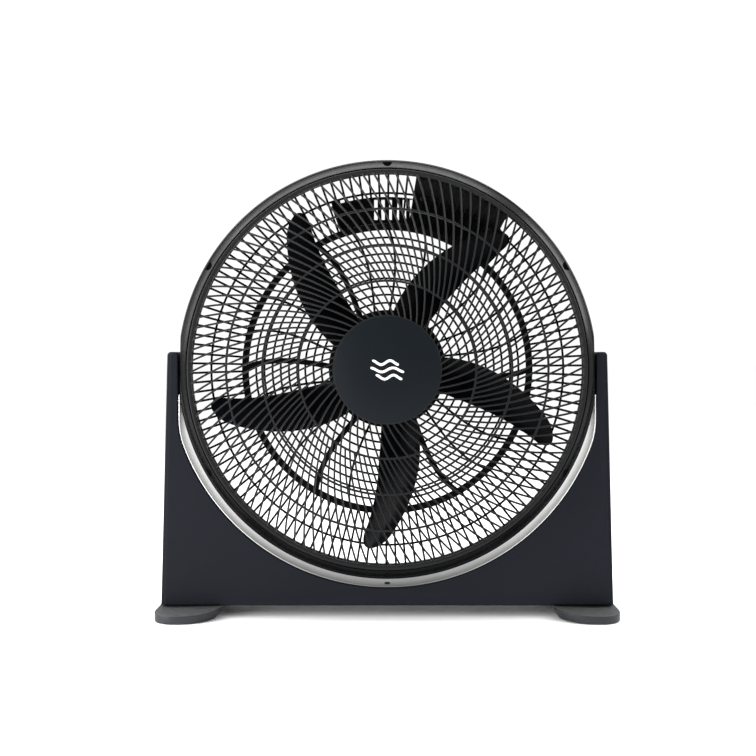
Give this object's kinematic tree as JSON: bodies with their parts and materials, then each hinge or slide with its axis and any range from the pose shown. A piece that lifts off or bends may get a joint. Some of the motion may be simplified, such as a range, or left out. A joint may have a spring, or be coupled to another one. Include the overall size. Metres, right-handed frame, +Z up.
{
  "type": "box fan",
  "caption": "Low floor fan: a round caged head with a bladed impeller tilts in a wide cradle stand with a bright lining.",
  "frame": {"origin": "on the floor, under the middle of the fan", "axes": "+Z up, the fan's front faces -Y, +X is to the right seen from the front"},
  "size_m": [0.6, 0.18, 0.5962],
  "materials": {
    "stand_plastic": "satin moulded",
    "cap_plastic": "satin moulded",
    "ring_plastic": "satin moulded",
    "front_grille_plastic": "satin moulded",
    "rear_plastic": "satin moulded",
    "blade_plastic": "gloss moulded",
    "silver_trim": "silver lacquer",
    "rubber": "matt",
    "knob_plastic": "satin moulded",
    "nylon": "natural",
    "cast_aluminium": "as cast",
    "steel": "zinc plated"
  },
  "bodies": {
    "stand": {"foot_pad_left_front": "rubber", "foot_pad_left_rear": "rubber", "foot_pad_right_front": "rubber", "foot_pad_right_rear": "rubber", "foot_screw_left_front": "steel", "foot_screw_left_rear": "steel", "foot_screw_right_front": "steel", "foot_screw_right_rear": "steel", "left_foot": "stand_plastic", "pivot_bush_left": "nylon", "pivot_bush_right": "nylon", "pivot_cap_left": "stand_plastic", "pivot_cap_right": "stand_plastic", "right_foot": "stand_plastic", "shell_screw_left_high": "steel", "shell_screw_left_low": "steel", "shell_screw_right_high": "steel", "shell_screw_right_low": "steel", "stand_front_shell": "stand_plastic", "stand_rear_shell": "stand_plastic", "trim_screw": "rear_plastic", "trough_trim": "silver_trim"},
    "head": {"bearing_front": "steel", "bearing_rear": "steel", "capacitor": "cast_aluminium", "carry_handle": "rear_plastic", "control_box": "rear_plastic", "control_box_lid": "rear_plastic", "cord_gland": "rubber", "friction_washer_left": "nylon", "friction_washer_right": "nylon", "front_grille": "front_grille_plastic", "grille_cap": "cap_plastic", "grille_clip_1": "rear_plastic", "grille_clip_2": "rear_plastic", "grille_clip_3": "rear_plastic", "grille_clip_4": "rear_plastic", "grille_clip_5": "rear_plastic", "grille_clip_6": "rear_plastic", "lid_screw_1": "steel", "lid_screw_2": "steel", "motor_cover": "rear_plastic", "motor_front_bell": "cast_aluminium", "motor_rear_bell": "cast_aluminium", "pivot_pin_left": "steel", "pivot_pin_right": "steel", "rear_basket": "rear_plastic", "ring_frame": "ring_plastic", "rotary_switch": "nylon", "stator_core": "steel"},
    "impeller": {"blade_nut": "blade_plastic", "impeller": "blade_plastic", "motor_shaft": "steel", "rotor_core": "cast_aluminium"},
    "knob": {"speed_knob": "knob_plastic", "switch_spindle": "steel"}
  },
  "joints": [
    {"name": "head_tilt", "type": "hinge", "parent": "stand", "child": "head", "pos_m": [0, 0, 0.323], "axis": [1, 0, 0], "range_deg": [-90, 90]},
    {"name": "impeller_spin", "type": "hinge", "parent": "head", "child": "impeller", "pos_m": [0, 0, 0.323], "axis": [0, 1, 0], "continuous": true},
    {"name": "knob_turn", "type": "hinge", "parent": "head", "child": "knob", "pos_m": [0.10374, 0.0625, 0.52659], "axis": [0, 1, 0], "range_deg": [0, 135]}
  ]
}
